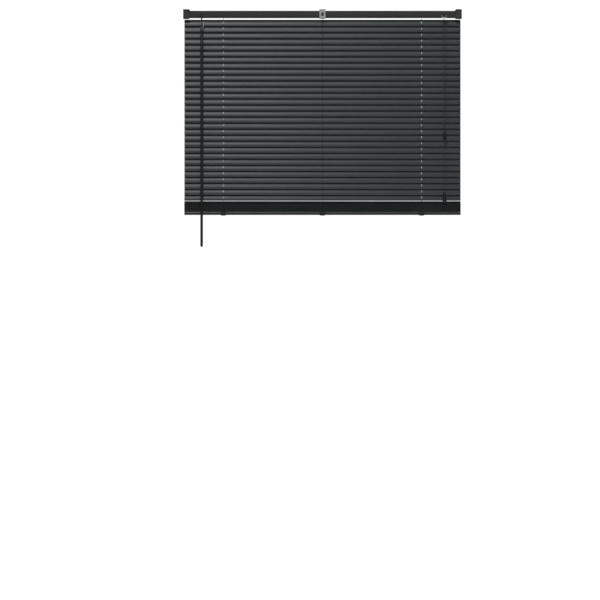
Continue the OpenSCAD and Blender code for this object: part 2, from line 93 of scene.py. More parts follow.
@dataclass(frozen=True)
class Layout:
    """Sizes that several sub-assemblies share, as the CAD source has them.

    Attributes are named after the part that they measure; all are metres apart from counts and angles.
    """

    ladder_x: float = 0.356
    slat_length: float = 0.992
    slat_width: float = 0.025
    slat_thickness: float = 0.0002
    slat_crown: float = 0.0015
    pitch: float = 0.02165
    first_z: float = -0.0478
    closed_angle: float = math.radians(67.5)
    hanging: int = 30
    links: int = 5
    reach: float = 0.01585
    rod_z: float = -0.0181
    drum_string_y: float = 0.00755
    travel: float = 0.09325
    least_pitch: float = 0.003
    rail_top: float = -0.726
    rail_height: float = 0.0125
    rail_depth: float = 0.024
    head_low: float = -0.0306
    head_top: float = -0.0056
    cord_diameter: float = 0.0014
    string_diameter: float = 0.0009

    @property
    def ladders(self) -> tuple[float, float, float]:
        """Where the three ladders hang along X."""
        return (-self.ladder_x, 0.0, self.ladder_x)

    @property
    def pin_y(self) -> float:
        """How far the ladder strings hang from the slats' middle plane when the slats are closed."""
        return self.reach * math.cos(self.closed_angle)

    @property
    def pin_dz(self) -> float:
        """How far a string meets its slat above or below the slat's middle."""
        return self.reach * math.sin(self.closed_angle)

    @property
    def first_link(self) -> int:
        """The highest slat that closes up as the blind is drawn up."""
        return self.hanging - self.links + 1

    def slat_z(self, number: int) -> float:
        """The height of a hanging slat's middle, counted from 1 at the top."""
        return self.first_z - self.pitch * (number - 1)

    def pin(self, number: int, side: Side) -> Vector:
        """Where a string meets a slat's edge, at x = 0."""
        return Vector((0.0, side.value * self.pin_y, self.slat_z(number) + side.value * self.pin_dz))


LAYOUT = Layout()


# ---------------------------------------------------------------- materials


class Recipe:
    """A procedural material as it is put together: its nodes and the links between them."""

    def __init__(self, name: str, roughness: float, colour: Colour) -> None:
        """Starts a material with one shader.

        Args:
            name: The material's name.
            roughness: The shader's even roughness, used until a pattern is linked to it.
            colour: The shader's even colour, used until a pattern is linked to it.
        """
        self.material = bpy.data.materials.new(name)
        self.material.use_nodes = True
        self.tree = self.material.node_tree
        self.shader = self.tree.nodes["Principled BSDF"]
        self.set("Roughness", roughness)
        self.shader.inputs["Base Color"].default_value = (*colour, 1.0)

    def set(self, socket: str, value: float) -> None:
        """Sets one of the shader's own sockets."""
        self.shader.inputs[socket].default_value = value

    def node(self, kind: str, **settings: object) -> Node:
        """Adds a node and sets its properties by name."""
        made = self.tree.nodes.new(kind)
        for key, value in settings.items():
            setattr(made, key, value)
        return made

    def link(self, source: NodeSocket, target: NodeSocket) -> None:
        """Joins an output to an input."""
        self.tree.links.new(source, target)

    def place(self, scale: Point = (1.0, 1.0, 1.0), turn: Point = (0.0, 0.0, 0.0),
              uv: bool = False) -> NodeSocket:
        """The pattern space.

        Args:
            scale: How much the pattern is packed along each axis.
            turn: How the pattern is turned, in degrees.
            uv: True to follow the piece's own UV map, and not its place.

        Returns:
            The mapped coordinates.
        """
        coordinates = self.node("ShaderNodeTexCoord")
        mapping = self.node("ShaderNodeMapping")
        mapping.inputs["Scale"].default_value = scale
        mapping.inputs["Rotation"].default_value = [math.radians(a) for a in turn]
        self.link(coordinates.outputs["UV" if uv else "Object"], mapping.inputs["Vector"])
        return mapping.outputs["Vector"]

    def noise(self, space: NodeSocket, scale: float, detail: float = 3.0) -> NodeSocket:
        """A cloud pattern's value, from 0 to 1."""
        made = self.node("ShaderNodeTexNoise")
        made.inputs["Scale"].default_value = scale
        made.inputs["Detail"].default_value = detail
        self.link(space, made.inputs["Vector"])
        return made.outputs["Fac"]

    def cells(self, space: NodeSocket, scale: float) -> NodeSocket:
        """A cell pattern's distance, used for crystals and grain."""
        made = self.node("ShaderNodeTexVoronoi")
        made.inputs["Scale"].default_value = scale
        self.link(space, made.inputs["Vector"])
        return made.outputs["Distance"]

    def wave(self, space: NodeSocket, scale: float) -> NodeSocket:
        """Even rounded ridges across X."""
        made = self.node("ShaderNodeTexWave", wave_profile="SIN")
        made.inputs["Scale"].default_value = scale
        self.link(space, made.inputs["Vector"])
        return made.outputs["Fac"]

    def stretch(self, value: NodeSocket, low: float, high: float, into: tuple[float, float]) -> NodeSocket:
        """A value from low to high, stretched into another range and kept in it."""
        made = self.node("ShaderNodeMapRange")
        for socket, number in zip(("From Min", "From Max", "To Min", "To Max"), (low, high, *into)):
            made.inputs[socket].default_value = number
        self.link(value, made.inputs["Value"])
        return made.outputs["Result"]

    def combine(self, first: NodeSocket, second: NodeSocket, how: str) -> NodeSocket:
        """Two values put together by a named sum, such as ADD or MAXIMUM."""
        made = self.node("ShaderNodeMath", operation=how)
        self.link(first, made.inputs[0])
        self.link(second, made.inputs[1])
        return made.outputs["Value"]

    def colour(self, share: NodeSocket, low: Colour, high: Colour) -> None:
        """Links the shader's colour to a pattern between two colours."""
        made = self.node("ShaderNodeMix", data_type="RGBA")
        for socket, value in ((made.inputs[6], low), (made.inputs[7], high)):
            socket.default_value = (*value, 1.0)
        self.link(share, made.inputs[0])
        self.link(made.outputs[2], self.shader.inputs["Base Color"])

    def rough(self, share: NodeSocket, low: float, high: float) -> None:
        """Links the shader's roughness to a pattern between two values."""
        self.link(self.stretch(share, 0.0, 1.0, (low, high)), self.shader.inputs["Roughness"])

    def relief(self, height: NodeSocket, depth: float, strength: float = 1.0) -> None:
        """Adds a bump of that depth, on top of the bumps added before it."""
        made = self.node("ShaderNodeBump")
        made.inputs["Strength"].default_value = strength
        made.inputs["Distance"].default_value = depth
        self.link(height, made.inputs["Height"])
        before = self.shader.inputs["Normal"].links
        if before:
            self.link(before[0].from_socket, made.inputs["Normal"])
        self.link(made.outputs["Normal"], self.shader.inputs["Normal"])


@dataclass(frozen=True)
class Enamel:
    """Stove enamel on rolled strip: a satin film with faint rolling lines along X and some orange peel."""

    name: str
    low: Colour
    high: Colour
    roughness: tuple[float, float]
    peel_depth: float = 0.000006
    clear_coat: float = 0.0

    def build(self) -> Material:
        """Makes the material."""
        made = Recipe(self.name, sum(self.roughness) / 2, self.low)
        lines = made.noise(made.place((1.2, 260.0, 260.0)), 1.0, 4.0)
        clouds = made.noise(made.place(), 9.0)
        share = made.combine(lines, clouds, "MULTIPLY")
        made.colour(made.stretch(share, 0.12, 0.42, (0.0, 1.0)), self.low, self.high)
        made.rough(made.noise(made.place((6.0, 90.0, 90.0)), 1.0), *self.roughness)
        made.relief(made.noise(made.place(), 900.0, 2.0), self.peel_depth)
        made.relief(lines, self.peel_depth, 0.6)
        made.set("Coat Weight", self.clear_coat)
        made.set("Coat Roughness", 0.25)
        return made.material


@dataclass(frozen=True)
class Moulded:
    """Injection-moulded plastic: a fine spark-eroded grain with faint flow marks."""

    name: str
    low: Colour
    high: Colour
    roughness: tuple[float, float]
    grain: float = 0.00001

    def build(self) -> Material:
        """Makes the material."""
        made = Recipe(self.name, sum(self.roughness) / 2, self.low)
        flow = made.noise(made.place((1.0, 1.0, 2.5)), 60.0, 4.0)
        made.colour(made.stretch(flow, 0.3, 0.7, (0.0, 1.0)), self.low, self.high)
        made.rough(made.noise(made.place(), 240.0), *self.roughness)
        made.relief(made.cells(made.place(), 3200.0), self.grain)
        made.relief(flow, self.grain, 0.5)
        return made.material


@dataclass(frozen=True)
class Extruded:
    """A glossy extruded rod with faint die lines along it and slow waves in its gloss."""

    name: str
    low: Colour
    high: Colour
    roughness: tuple[float, float]

    def build(self) -> Material:
        """Makes the material."""
        made = Recipe(self.name, sum(self.roughness) / 2, self.low)
        lines = made.noise(made.place((900.0, 900.0, 3.0)), 1.0, 3.0)
        made.colour(made.stretch(lines, 0.3, 0.7, (0.0, 1.0)), self.low, self.high)
        made.rough(made.noise(made.place((30.0, 30.0, 12.0)), 1.0), *self.roughness)
        made.relief(lines, 0.000004)
        made.set("Coat Weight", 0.35)
        made.set("Coat Roughness", 0.08)
        return made.material


@dataclass(frozen=True)
class ZincPlate:
    """Bright zinc plate: metal with small crystals and fine drawing lines."""

    name: str
    low: Colour
    high: Colour
    roughness: tuple[float, float]
    lines: Point = (8.0, 700.0, 700.0)

    def build(self) -> Material:
        """Makes the material."""
        made = Recipe(self.name, sum(self.roughness) / 2, self.low)
        made.set("Metallic", 1.0)
        crystals = made.cells(made.place(), 420.0)
        made.colour(made.stretch(crystals, 0.1, 0.7, (0.0, 1.0)), self.low, self.high)
        drawn = made.noise(made.place(self.lines), 1.0, 4.0)
        made.rough(drawn, *self.roughness)
        made.relief(drawn, 0.000005)
        return made.material


@dataclass(frozen=True)
class Braid:
    """Braided polyester: strands that cross each other round the cord, with a soft sheen and painted shade in
    the grooves between them.
    """

    name: str
    low: Colour
    high: Colour
    strands: float
    depth: float

    def build(self) -> Material:
        """Makes the material."""
        made = Recipe(self.name, 0.72, self.low)
        crossing = [
            made.wave(made.place((self.strands, self.strands, 1.0), (0.0, 0.0, turn), uv=True), 1.0)
            for turn in (38.0, -38.0)
        ]
        weave_and_groove_shade = made.combine(*crossing, "MAXIMUM")
        fuzz = made.noise(made.place((40.0, 40.0, 1.0), uv=True), 3.0)
        # Colour from the weave, darker in the grooves between strands (painted shade), times the fuzz's
        # random tone.
        made.colour(made.combine(weave_and_groove_shade, fuzz, "MULTIPLY"), self.low, self.high)
        made.rough(fuzz, 0.6, 0.85)
        made.relief(weave_and_groove_shade, self.depth)
        made.relief(fuzz, self.depth / 3)
        made.set("Sheen Weight", 0.25)
        made.set("Sheen Roughness", 0.5)
        return made.material


class Paint:
    """The blind's finishes, each made once."""

    def __init__(self) -> None:
        """Makes every material."""
        self.slat = Enamel("slat_enamel", (0.040, 0.048, 0.053), (0.052, 0.062, 0.067), (0.30, 0.38)).build()
        self.steel = Enamel("rail_enamel", (0.027, 0.027, 0.028), (0.034, 0.034, 0.035), (0.40, 0.50)).build()
        self.foot = Enamel("foot_enamel", (0.030, 0.030, 0.031), (0.038, 0.038, 0.039), (0.24, 0.32),
                           clear_coat=1.0).build()
        self.bracket = Moulded("bracket_plastic", (0.024, 0.024, 0.025), (0.032, 0.032, 0.033),
                               (0.42, 0.55)).build()
        self.door = Moulded("door_plastic", (0.034, 0.034, 0.035), (0.043, 0.043, 0.044),
                            (0.42, 0.55)).build()
        self.dark = Moulded("dark_plastic", (0.010, 0.010, 0.011), (0.016, 0.016, 0.017), (0.38, 0.5)).build()
        self.pale = Moulded("pale_plastic", (0.44, 0.45, 0.46), (0.52, 0.53, 0.54), (0.4, 0.52)).build()
        self.clear = Moulded("hook_plastic", (0.46, 0.48, 0.49), (0.58, 0.59, 0.60), (0.18, 0.28)).build()
        self.centre = Enamel("centre_enamel", (0.46, 0.47, 0.48), (0.54, 0.55, 0.56), (0.35, 0.45)).build()
        self.wand = Extruded("wand_gloss", (0.022, 0.022, 0.023), (0.030, 0.030, 0.031), (0.20, 0.30)).build()
        self.zinc = ZincPlate("zinc_plate", (0.50, 0.51, 0.53), (0.68, 0.69, 0.70), (0.25, 0.42)).build()
        self.bare = ZincPlate("bare_aluminium", (0.60, 0.61, 0.62), (0.74, 0.75, 0.76), (0.3, 0.5)).build()
        self.cord = Braid("pull_cord_braid", (0.012, 0.014, 0.016),
                          (0.055, 0.062, 0.068), 3.0, 0.00009).build()
        self.string = Braid("ladder_braid", (0.016, 0.018, 0.020),
                            (0.070, 0.076, 0.082), 2.0, 0.00006).build()


# ---------------------------------------------------------------- modelling


def grow(bm: BMesh, faces: Sequence[BMFace] | None = None) -> list[object]:
    """Faces with their edges and vertices, as one list of geometry for an operator.

    Args:
        bm: The mesh.
        faces: The faces, or None for the whole mesh.

    Returns:
        The vertices, edges and faces.
    """
    if faces is None:
        return [*bm.verts, *bm.edges, *bm.faces]
    verts = {v for f in faces for v in f.verts}
    edges = {e for f in faces for e in f.edges}
    return [*verts, *edges, *faces]


def slice_at(bm: BMesh, point: Point | Vector, normal: Point | Vector,
             near: Callable[[Vector], bool] | None = None) -> None:
    """Cuts the surface along a plane, without removing anything.

    Args:
        bm: The mesh.
        point: A point on the plane.
        normal: The plane's normal.
        near: Says of a face's middle whether that face is cut; None cuts them all.
    """
    faces = None if near is None else [f for f in bm.faces if near(f.calc_center_median())]
    bmesh.ops.bisect_plane(bm, geom=grow(bm, faces), dist=1e-7, plane_co=point, plane_no=normal)


def cut_window(bm: BMesh, low: Point, high: Point) -> None:
    """Cuts the part of a surface that lies inside a box away.

    Args:
        bm: The mesh.
        low: The box's lowest corner.
        high: The box's highest corner.
    """
    for axis in range(3):
        for value in (low[axis], high[axis]):
            point, normal = Vector((0, 0, 0)), Vector((0, 0, 0))
            point[axis], normal[axis] = value, 1.0
            slice_at(bm, point, normal)

    def inside(middle: Vector) -> bool:
        """Whether a point is in the box."""
        return all(low[k] < middle[k] < high[k] for k in range(3))

    gone = [f for f in bm.faces if inside(f.calc_center_median())]
    bmesh.ops.delete(bm, geom=gone, context="FACES")


def draw_out(bm: BMesh, outline: Sequence[tuple[float, float]], x0: float, x1: float,
             closed: bool) -> list[BMFace]:
    """Draws an outline in Y and Z out along X.

    Args:
        bm: The mesh.
        outline: The outline's points as (y, z).
        x0: Where it starts.
        x1: Where it ends.
        closed: True if the outline's last point joins its first.

    Returns:
        The faces of the drawn wall.
    """
    verts = [bm.verts.new((x0, y, z)) for y, z in outline]
    pairs = list(zip(verts, verts[1:])) + ([(verts[-1], verts[0])] if closed else [])
    edges = [bm.edges.new(pair) for pair in pairs]
    made = bmesh.ops.extrude_edge_only(bm, edges=edges)["geom"]
    moved = [g for g in made if isinstance(g, BMVert)]
    bmesh.ops.translate(bm, verts=moved, vec=(x1 - x0, 0, 0))
    return [g for g in made if isinstance(g, BMFace)]


def edge_angle(edge: BMEdge) -> float:
    """The angle between an edge's two faces, or 0 at a border."""
    return edge.calc_face_angle(0.0) if len(edge.link_faces) == 2 else 0.0


def round_off(bm: BMesh, geom: Sequence[BMEdge | BMVert], width: float, segments: int,
              affect: str = "EDGES") -> None:
    """Rounds chosen edges or corners of a mesh.

    Args:
        bm: The mesh.
        geom: The edges or vertices.
        width: The width of the rounding.
        segments: Its steps.
        affect: EDGES or VERTICES, as the geometry is.
    """
    bmesh.ops.bevel(bm, geom=geom, offset=width, offset_type="OFFSET", segments=segments, profile=0.5,
                    affect=affect, clamp_overlap=True, material=-1)


def soften(bm: BMesh, width: float, angle: float = 32.0) -> None:
    """Rounds a mesh's sharp edges in two steps.

    Args:
        bm: The mesh.
        width: The width of the rounding.
        angle: The least angle between two faces, in degrees, that counts as sharp.
    """
    limit = math.radians(angle)
    round_off(bm, [e for e in bm.edges if edge_angle(e) > limit], width, 2)


def lathe(bm: BMesh, profile: Sequence[tuple[float, float]], at: Vector, steps: int = 40) -> None:
    """Turns a profile about a vertical axis into a closed solid.

    Args:
        bm: The mesh.
        profile: The profile's points as (radius, height), from the bottom to the top.
        at: Where the axis stands and the heights start.
        steps: The faces round the axis.
    """
    verts = [bm.verts.new(at + Vector((r, 0.0, z))) for r, z in profile]
    edges = [bm.edges.new(pair) for pair in zip(verts, verts[1:])]
    before = set(bm.faces)
    bmesh.ops.spin(bm, geom=[*verts, *edges], cent=at, axis=(0, 0, 1), angle=math.tau, steps=steps,
                   use_merge=True)
    bmesh.ops.remove_doubles(bm, verts=bm.verts[:], dist=WELD)
    bmesh.ops.recalc_face_normals(bm, faces=[f for f in bm.faces if f not in before])


def curve_through(points: Sequence[Point], steps: int) -> list[Vector]:
    """A smooth line through a route's points.

    Args:
        points: The route.
        steps: The points to each of its stretches.

    Returns:
        The line's points.
    """
    route = [Vector(p) for p in points]
    last = len(route) - 1
    line: list[Vector] = []
    for i in range(last):
        a, b, c, d = route[max(i - 1, 0)], route[i], route[i + 1], route[min(i + 2, last)]
        for k in range(steps):
            t = k / steps
            line.append(0.5 * (2 * b + (c - a) * t + (2 * a - 5 * b + 4 * c - d) * t**2
                               + (3 * b - a - 3 * c + d) * t**3))
    return [*line, route[last]]


def sweep(bm: BMesh, line: Sequence[Vector], diameter: float, sides: int = 10) -> None:
    """Sweeps a ring along a line into a closed tube, with a UV map that runs round it and along it.

    Args:
        bm: The mesh.
        line: The tube's centreline.
        diameter: The tube's diameter.
        sides: The faces round it.
    """
    uv = bm.loops.layers.uv.verify()
    around = bm.verts.layers.float.get("around") or bm.verts.layers.float.new("around")
    along = bm.verts.layers.float.get("along") or bm.verts.layers.float.new("along")
    points = [Vector(p) for p in line]
    heading = (points[1] - points[0]).normalized()
    place = Matrix.Translation(points[0]) @ heading.to_track_quat("Z", "Y").to_matrix().to_4x4()
    before = set(bm.faces)
    circle = bmesh.ops.create_circle(bm, cap_ends=True, segments=sides, radius=diameter / 2, matrix=place)
    ring = circle["verts"]
    for k, vert in enumerate(ring):
        vert[around] = k / sides
    edges = [e for e in {e for v in ring for e in v.link_edges} if all(v in ring for v in e.verts)]
    travelled = 0.0
    for i in range(1, len(points)):
        onward = (points[min(i + 1, len(points) - 1)] - points[i - 1]).normalized()
        step = (Matrix.Translation(points[i]) @ heading.rotation_difference(onward).to_matrix().to_4x4()
                @ Matrix.Translation(-points[i - 1]))
        heading = onward
        travelled += (points[i] - points[i - 1]).length
        made = bmesh.ops.extrude_edge_only(bm, edges=edges)["geom"]
        moved = [g for g in made if isinstance(g, BMVert)]
        bmesh.ops.transform(bm, matrix=step, verts=moved)
        for vert in moved:
            vert[along] = travelled
        edges = [g for g in made if isinstance(g, BMEdge) and all(v in moved for v in g.verts)]
    bmesh.ops.edgeloop_fill(bm, edges=edges)
    faces = [f for f in bm.faces if f not in before]
    bmesh.ops.recalc_face_normals(bm, faces=faces)
    girth = math.pi * diameter
    for face in faces:
        turns = [loop.vert[around] for loop in face.loops]
        wraps = len(face.verts) == 4 and max(turns) - min(turns) > 0.5
        for loop, turn in zip(face.loops, turns):
            loop[uv].uv = (turn + (1.0 if wraps and turn < 0.5 else 0.0), loop.vert[along] / girth)


def cad_copy(node: str) -> BMesh:
    """A welded copy of a CAD node's mesh with its flat faces whole, for an operator to refine."""
    bm = bmesh.new()
    bm.from_mesh(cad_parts[node].data)
    bmesh.ops.remove_doubles(bm, verts=bm.verts[:], dist=WELD)
    bmesh.ops.dissolve_limit(bm, angle_limit=math.radians(0.4), use_dissolve_boundaries=False,
                             verts=bm.verts[:], edges=bm.edges[:], delimit={"NORMAL"})
    return bm


def make_piece(name: str, bm: BMesh, body: str | None, materials: Sequence[Material],
               stands_for: Sequence[str] = (), sharp: float = 34.0) -> Object:
    """Turns a finished bmesh into a piece that rides on a body.

    Args:
        name: The piece's name.
        bm: Its mesh, in place; it is freed.
        body: The CAD body that it rides on, or None to ride on no body.
        materials: The mesh's materials, in the order of its faces' indices.
        stands_for: The CAD nodes that it replaces.
        sharp: The angle, in degrees, past which an edge is shaded sharp.

    Returns:
        The piece's object.
    """
    mesh = bpy.data.meshes.new(name)
    bm.normal_update()
    bm.to_mesh(mesh)
    bm.free()
    for material in materials:
        mesh.materials.append(material)
    mesh.shade_smooth()
    mesh.set_sharp_from_angle(angle=math.radians(sharp))
    piece = bpy.data.objects.new(name, mesh)
    bpy.context.scene.collection.objects.link(piece)
    if body is not None:
        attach(piece, body)
    if stands_for:
        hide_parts(*stands_for)
    LOG.info("piece %s: %d faces on %s", name, len(mesh.polygons), body)
    return piece


# ---------------------------------------------------------------- sub-assemblies


@dataclass
class PullCords:
    """The two pull cords, their joiner, the single cord below it and the tassel.

    The routes' points are the CAD source's.
    """

    paint: Paint
    y: float = -0.0215
    end_x: float = 0.4375
    joiner_low: float = -0.476
    tassel_low: float = -0.695
    left_route: tuple[tuple[float, float], ...] = (
        (0.4335, -0.0323), (0.4335, -0.060), (0.434, -0.140), (0.4348, -0.230),
        (0.4356, -0.320), (0.4362, -0.400), (0.4364, -0.436))
    right_route: tuple[tuple[float, float], ...] = (
        (0.4385, -0.0323), (0.4385, -0.060), (0.4385, -0.140), (0.4384, -0.230),
        (0.4383, -0.320), (0.4384, -0.400), (0.4386, -0.436))
    lower_route: tuple[tuple[float, float], ...] = (
        (0.4375, -0.476), (0.4375, -0.540), (0.4375, -0.600), (0.4375, -0.656))
    steps: int = 6

    def run(self, route: Sequence[tuple[float, float]]) -> list[Vector]:
        """A route's smooth line."""
        return curve_through([(x, self.y, z) for x, z in route], self.steps)

    def cord(self, name: str, route: Sequence[tuple[float, float]], end: Object, far_end: str,
             blended: bool) -> None:
        """Args:
            name: The piece's name.
            route: The cord's route as (x, z).
            end: The piece on its far end; it is not used.
            far_end: What that piece is; it is not used.
            blended: True for a cord that comes out of the lock as the blind is drawn up.
        """
        line = self.run(route)
        bm = bmesh.new()
        sweep(bm, line, LAYOUT.cord_diameter)
        body = None if blended else "pull"
        cord = make_piece(name, bm, body, [self.paint.cord], ["pull_cords"])
        if blended:
            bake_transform(cord)

    def joiner(self) -> Object:
        """Builds the barrel that joins the two cords: two screwed halves with a knurled ring between them."""
        profile = [(0.0, 0.0), (0.0016, 0.0), (0.0021, 0.0004), (0.0041, 0.0068), (0.0044, 0.0078),
                   (0.0044, 0.0180), (0.0040, 0.0184), (0.0040, 0.0190), (0.0044, 0.0194), (0.0044, 0.0322),
                   (0.0041, 0.0332), (0.0028, 0.0394), (0.0023, 0.0400), (0.0, 0.0400)]
        bm = bmesh.new()
        lathe(bm, profile, Vector((self.end_x, self.y, self.joiner_low)))
        return make_piece("cord_joiner_barrel", bm, "pull", [self.paint.dark], ["cord_joiner"])

    def tassel(self) -> Object:
        """Builds the bell-shaped tassel, with a rolled foot and a ring at its neck."""
        profile = [(0.0, 0.0008), (0.0050, 0.0008), (0.0056, 0.0), (0.0066, 0.0003), (0.0075, 0.0016),
                   (0.0076, 0.0030), (0.0074, 0.0052), (0.0069, 0.0100), (0.0061, 0.0180), (0.0053, 0.0260),
                   (0.0046, 0.0318), (0.0043, 0.0330), (0.0045, 0.0337), (0.0044, 0.0345), (0.0040, 0.0352),
                   (0.0032, 0.0380), (0.0026, 0.0389), (0.0018, 0.0390), (0.0, 0.0390)]
        bm = bmesh.new()
        lathe(bm, profile, Vector((self.end_x, self.y, self.tassel_low)))
        return make_piece("cord_tassel_bell", bm, "pull", [self.paint.dark], ["cord_tassel"])

    def build(self) -> None:
        """Builds the cords and what hangs on them."""
        joiner, tassel = self.joiner(), self.tassel()
        self.cord("pull_cord_left", self.left_route, joiner, "connector", True)
        self.cord("pull_cord_right", self.right_route, joiner, "connector", True)
        self.cord("pull_cord_lower", self.lower_route, tassel, "fitting", False)


@dataclass
class LiftCords:
    """The two lift cords: their upright runs through the slats and their inner run to the cord lock."""

    paint: Paint
    low_end: float = -0.737
    bend_z: float = -0.0336
    lock_x: float = 0.4313
    pulley_y: float = -0.0067
    wrap_radius: float = 0.00495
    low_lane_z: float = -0.0279
    high_lane_z: float = -0.0259
    head_front: float = -0.0125
    hang_y: float = -0.0215
    lip_top: float = -0.0289
    lip_low: float = -0.0321
    exits: tuple[float, float] = (0.4335, 0.4385)

    def uprights(self) -> None:
        """Builds the runs from the head rail to the bottom rail."""
        bm = bmesh.new()
        for x in (-LAYOUT.ladder_x, LAYOUT.ladder_x):
            sweep(bm, [Vector((x, 0, self.bend_z)), Vector((x, 0, self.low_end))], LAYOUT.cord_diameter)
        run = make_piece("lift_cord_uprights", bm, "frame", [self.paint.cord], ["lift_cords"])
        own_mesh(run)

    def wrap(self, z: float) -> list[Vector]:
        """The quarter turn round the lock's guide pulley, at a height."""
        turns = [math.radians(22.5 * k) for k in range(5)]
        r = self.wrap_radius
        return [Vector((self.lock_x + r * math.sin(a), self.pulley_y + r * math.cos(a), z)) for a in turns]

    def way_out(self, x: float) -> list[Vector]:
        """The way from the pulley over the lock's lip and down through it."""
        top = self.lip_top + 0.0008
        return [Vector((x, self.head_front - 0.002, self.low_lane_z + 0.0004)),
                Vector((x, self.hang_y + 0.0009, top)), Vector((x, self.hang_y, top - 0.0009)),
                Vector((x, self.hang_y, self.lip_low))]

    def inner_run(self) -> None:
        """Builds the run inside the head rail."""
        lane = self.pulley_y + self.wrap_radius
        far, near = LAYOUT.ladder_x, -LAYOUT.ladder_x
        bm = bmesh.new()
        sweep(bm, [Vector((near, 0, self.bend_z)), Vector((near, lane * 0.5, self.low_lane_z - 0.002)),
                   Vector((near + 0.004, lane, self.low_lane_z)), *self.wrap(self.low_lane_z),
                   *self.way_out(self.exits[0])], LAYOUT.cord_diameter, 8)
        sweep(bm, [Vector((far, 0, self.bend_z)), Vector((far, 0.0002, self.low_lane_z - 0.002)),
                   Vector((far + 0.004, 0.0004, self.low_lane_z)),
                   Vector((far + 0.018, 0.0004, self.low_lane_z)),
                   Vector((far + 0.050, lane, self.high_lane_z)), *self.wrap(self.high_lane_z),
                   *self.way_out(self.exits[1])], LAYOUT.cord_diameter, 8)
        make_piece("lift_cord_inner_run", bm, "frame", [self.paint.cord], ["lift_cords"])

    def build(self) -> None:
        """Builds both runs."""
        self.uprights()
        self.inner_run()


@dataclass
class Ladders:
    """The ladders' strings, from the drums down past the hanging slats and the stack to the bottom rail."""

    paint: Paint
    stack_top: float = -0.6886
    stack_edge: float = 0.01305
    clip_z: float = -0.7275
    slim: float = 0.92
    last_gap: float = 0.0016

    def strings(self, name: str, body: str, runs: Sequence[Sequence[Vector]], stands_for: Sequence[str] = (),
                share: float = 1.0) -> Object:
        """Builds one piece with the same runs of string at each ladder.

        Args:
            name: The piece's name.
            body: The body that it rides on.
            runs: The runs' points, at x = 0.
            stands_for: The CAD nodes that it replaces.
            share: The share of the string's diameter.

        Returns:
            The piece.
        """
        bm = bmesh.new()
        for x in LAYOUT.ladders:
            for run in runs:
                sweep(bm, [p + Vector((x, 0, 0)) for p in run], LAYOUT.string_diameter * share, 8)
        return make_piece(name, bm, body, [self.paint.string], stands_for)

    def heads(self) -> None:
        """Builds the stretches between the drums and the first slat's edges, which stay with the frame."""
        runs = []
        for side, low in ((Side.FRONT, LAYOUT.pin(1, Side.REAR).z), (Side.REAR, LAYOUT.pin(1, Side.FRONT).z)):
            y = side.value * LAYOUT.pin_y
            top = Vector((0, side.value * LAYOUT.drum_string_y, LAYOUT.rod_z))
            runs.append([top, Vector((0, y, LAYOUT.pin(1, Side.REAR).z)), Vector((0, y, low - 0.0001))])
        self.strings("ladder_string_heads", "frame", runs, share=self.slim)

    def front(self) -> None:
        """Builds the front strings: a top stretch, and the run to the links."""
        pin = LAYOUT.pin(1, Side.FRONT)
        folding = [Vector((0, pin.y, LAYOUT.pin(1, Side.REAR).z)), pin]
        top = self.strings("front_string_tops", "front_strings", [folding])
        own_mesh(top)
        run = [pin, LAYOUT.pin(LAYOUT.first_link - 1, Side.FRONT)]
        self.strings("front_string_runs", "front_strings", [run], ["front_ladder_strings"])

    @staticmethod
    def share_left(stretches: int, gap: float) -> float:
        """The share of a string's length that is left once the slats have closed up.

        Args:
            stretches: How many slats the string spans.
            gap: How much shorter than that the string is.

        Returns:
            The share, from 0 to 1.
        """
        return (stretches * LAYOUT.least_pitch - gap) / (stretches * LAYOUT.pitch - gap)

    def links(self) -> None:
        """Builds the front strings' stretches between the lowest slats."""
        for number in range(LAYOUT.first_link, LAYOUT.hanging + 1):
            gap = self.last_gap if number == LAYOUT.hanging else 0.0
            low = LAYOUT.pin(number, Side.FRONT) + Vector((0, 0, gap))
            high = LAYOUT.pin(number - 1, Side.FRONT)
            node = f"ladder_link_{number:02d}"
            link = self.strings(f"string_link_{number:02d}", node, [[high, low]], [node])
            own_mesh(link)

    def rear(self) -> None:
        """Builds the rear strings: the upper run and the lower one."""
        first, last = LAYOUT.pin(1, Side.REAR), LAYOUT.pin(LAYOUT.hanging, Side.REAR)
        turn = LAYOUT.pin(LAYOUT.first_link - 1, Side.REAR)
        last = last + Vector((0, 0, self.last_gap))
        self.strings("rear_string_runs", "rear_strings", [[first, turn]], ["rear_ladder_strings"])
        folding = self.strings("rear_string_folds", "rear_strings", [[turn, last]], ["rear_ladder_strings"])
        self.share_left(LAYOUT.links, self.last_gap)
        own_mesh(folding)

    def tails(self) -> None:
        """Builds the stretches from the last hanging slat past the stack to the bottom rail's clips."""
        high, low = LAYOUT.pin(LAYOUT.hanging, Side.REAR).z, LAYOUT.pin(LAYOUT.hanging, Side.FRONT).z
        runs = []
        for side in Side:
            s = side.value
            edge = s * self.stack_edge
            runs.append([Vector((0, s * LAYOUT.pin_y, high)), Vector((0, s * LAYOUT.pin_y, low + 0.004)),
                         Vector((0, s * LAYOUT.pin_y * 1.15, low + 0.0015)),
                         Vector((0, edge * 0.93, self.stack_top + 0.0004)),
                         Vector((0, edge, self.stack_top - 0.0012)), Vector((0, edge, self.clip_z))])
        self.strings("ladder_string_tails", "lift", runs, share=self.slim)

    def build(self) -> None:
        """Builds every stretch of string."""
        self.heads()
        self.front()
        self.links()
        self.rear()
        self.tails()


